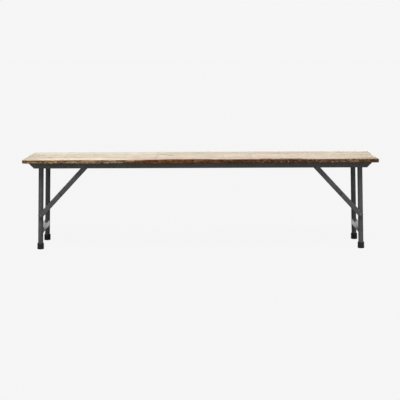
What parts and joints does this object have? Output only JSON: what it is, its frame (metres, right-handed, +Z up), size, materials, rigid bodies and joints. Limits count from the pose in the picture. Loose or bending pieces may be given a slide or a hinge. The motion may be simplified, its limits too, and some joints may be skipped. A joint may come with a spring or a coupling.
{
  "type": "folding bench",
  "caption": "Long plank seat on steel angle rails, with tube leg frames that fold inwards beneath it and are held open by elbowed braces.",
  "frame": {"origin": "on the floor, under the middle of the seat", "axes": "+X along the seat, to the right as seen from the front; +Y from the front to the back; +Z up"},
  "size_m": [1.6, 0.26, 0.42],
  "materials": {
    "reclaimed_wood": "weathered and unfinished",
    "painted_steel": "dark grey satin paint",
    "stretcher_steel": "plain dull steel",
    "rivet_steel": "dark steel",
    "screw_steel": "zinc plated",
    "foot_rubber": "matt black"
  },
  "bodies": {
    "frame": {"front_board": "reclaimed_wood", "middle_board": "reclaimed_wood", "back_board": "reclaimed_wood", "front_rail": "painted_steel", "rear_rail": "painted_steel", "left_cross_bar": "painted_steel", "centre_cross_bar": "painted_steel", "right_cross_bar": "painted_steel", "front_rail_screw_1": "screw_steel", "front_rail_screw_2": "screw_steel", "front_rail_screw_3": "screw_steel", "front_rail_screw_4": "screw_steel", "rear_rail_screw_1": "screw_steel", "rear_rail_screw_2": "screw_steel", "rear_rail_screw_3": "screw_steel", "rear_rail_screw_4": "screw_steel", "left_cross_bar_screw_1": "screw_steel", "left_cross_bar_screw_2": "screw_steel", "centre_cross_bar_screw_1": "screw_steel", "centre_cross_bar_screw_2": "screw_steel", "right_cross_bar_screw_1": "screw_steel", "right_cross_bar_screw_2": "screw_steel", "left_front_leg_rivet": "rivet_steel", "left_front_rail_rivet": "rivet_steel", "left_rear_leg_rivet": "rivet_steel", "left_rear_rail_rivet": "rivet_steel", "right_front_leg_rivet": "rivet_steel", "right_front_rail_rivet": "rivet_steel", "right_rear_leg_rivet": "rivet_steel", "right_rear_rail_rivet": "rivet_steel", "left_front_leg_bush": "rivet_steel", "left_rear_leg_bush": "rivet_steel", "right_front_leg_bush": "rivet_steel", "right_rear_leg_bush": "rivet_steel"},
    "left_leg_frame": {"left_stretcher": "stretcher_steel", "left_front_leg": "painted_steel", "left_front_foot": "foot_rubber", "left_front_brace_rivet": "rivet_steel", "left_rear_leg": "painted_steel", "left_rear_foot": "foot_rubber", "left_rear_brace_rivet": "rivet_steel"},
    "right_leg_frame": {"right_stretcher": "stretcher_steel", "right_front_leg": "painted_steel", "right_front_foot": "foot_rubber", "right_front_brace_rivet": "rivet_steel", "right_rear_leg": "painted_steel", "right_rear_foot": "foot_rubber", "right_rear_brace_rivet": "rivet_steel"},
    "left_front_upper_arm": {"left_front_upper_brace_arm": "painted_steel", "left_front_elbow_rivet": "rivet_steel"},
    "left_front_lower_arm": {"left_front_lower_brace_arm": "painted_steel"},
    "left_rear_upper_arm": {"left_rear_upper_brace_arm": "painted_steel", "left_rear_elbow_rivet": "rivet_steel"},
    "left_rear_lower_arm": {"left_rear_lower_brace_arm": "painted_steel"},
    "right_front_upper_arm": {"right_front_upper_brace_arm": "painted_steel", "right_front_elbow_rivet": "rivet_steel"},
    "right_front_lower_arm": {"right_front_lower_brace_arm": "painted_steel"},
    "right_rear_upper_arm": {"right_rear_upper_brace_arm": "painted_steel", "right_rear_elbow_rivet": "rivet_steel"},
    "right_rear_lower_arm": {"right_rear_lower_brace_arm": "painted_steel"}
  },
  "joints": [
    {"name": "left_fold", "type": "hinge", "parent": "frame", "child": "left_leg_frame", "pos_m": [-0.7225, 0, 0.387], "axis": [0, -1, 0], "range_deg": [0, 92]},
    {"name": "right_fold", "type": "hinge", "parent": "frame", "child": "right_leg_frame", "pos_m": [0.7225, 0, 0.387], "axis": [0, 1, 0], "range_deg": [0, 92]},
    {"name": "left_front_upper_arm_swing", "type": "hinge", "parent": "frame", "child": "left_front_upper_arm", "pos_m": [-0.5175, -0.1047, 0.387], "axis": [0, 1, 0], "range_deg": [0, 46.57]},
    {"name": "left_front_lower_arm_swing", "type": "hinge", "parent": "left_leg_frame", "child": "left_front_lower_arm", "pos_m": [-0.73374, -0.1004, 0.15727], "axis": [0, -1, 0], "range_deg": [0, 40.33]},
    {"name": "left_rear_upper_arm_swing", "type": "hinge", "parent": "frame", "child": "left_rear_upper_arm", "pos_m": [-0.5175, 0.1047, 0.387], "axis": [0, 1, 0], "range_deg": [0, 46.57]},
    {"name": "left_rear_lower_arm_swing", "type": "hinge", "parent": "left_leg_frame", "child": "left_rear_lower_arm", "pos_m": [-0.73374, 0.1004, 0.15727], "axis": [0, -1, 0], "range_deg": [0, 40.33]},
    {"name": "right_front_upper_arm_swing", "type": "hinge", "parent": "frame", "child": "right_front_upper_arm", "pos_m": [0.5175, -0.1047, 0.387], "axis": [0, -1, 0], "range_deg": [0, 46.57]},
    {"name": "right_front_lower_arm_swing", "type": "hinge", "parent": "right_leg_frame", "child": "right_front_lower_arm", "pos_m": [0.73374, -0.1004, 0.15727], "axis": [0, 1, 0], "range_deg": [0, 40.33]},
    {"name": "right_rear_upper_arm_swing", "type": "hinge", "parent": "frame", "child": "right_rear_upper_arm", "pos_m": [0.5175, 0.1047, 0.387], "axis": [0, -1, 0], "range_deg": [0, 46.57]},
    {"name": "right_rear_lower_arm_swing", "type": "hinge", "parent": "right_leg_frame", "child": "right_rear_lower_arm", "pos_m": [0.73374, 0.1004, 0.15727], "axis": [0, 1, 0], "range_deg": [0, 40.33]}
  ],
  "couplings": [
    {"joint": "left_front_upper_arm_swing", "follows": "left_fold", "ratio": 0.5061},
    {"joint": "left_front_lower_arm_swing", "follows": "left_fold", "ratio": 0.4383},
    {"joint": "left_rear_upper_arm_swing", "follows": "left_fold", "ratio": 0.5061},
    {"joint": "left_rear_lower_arm_swing", "follows": "left_fold", "ratio": 0.4383},
    {"joint": "right_front_upper_arm_swing", "follows": "right_fold", "ratio": 0.5061},
    {"joint": "right_front_lower_arm_swing", "follows": "right_fold", "ratio": 0.4383},
    {"joint": "right_rear_upper_arm_swing", "follows": "right_fold", "ratio": 0.5061},
    {"joint": "right_rear_lower_arm_swing", "follows": "right_fold", "ratio": 0.4383}
  ]
}
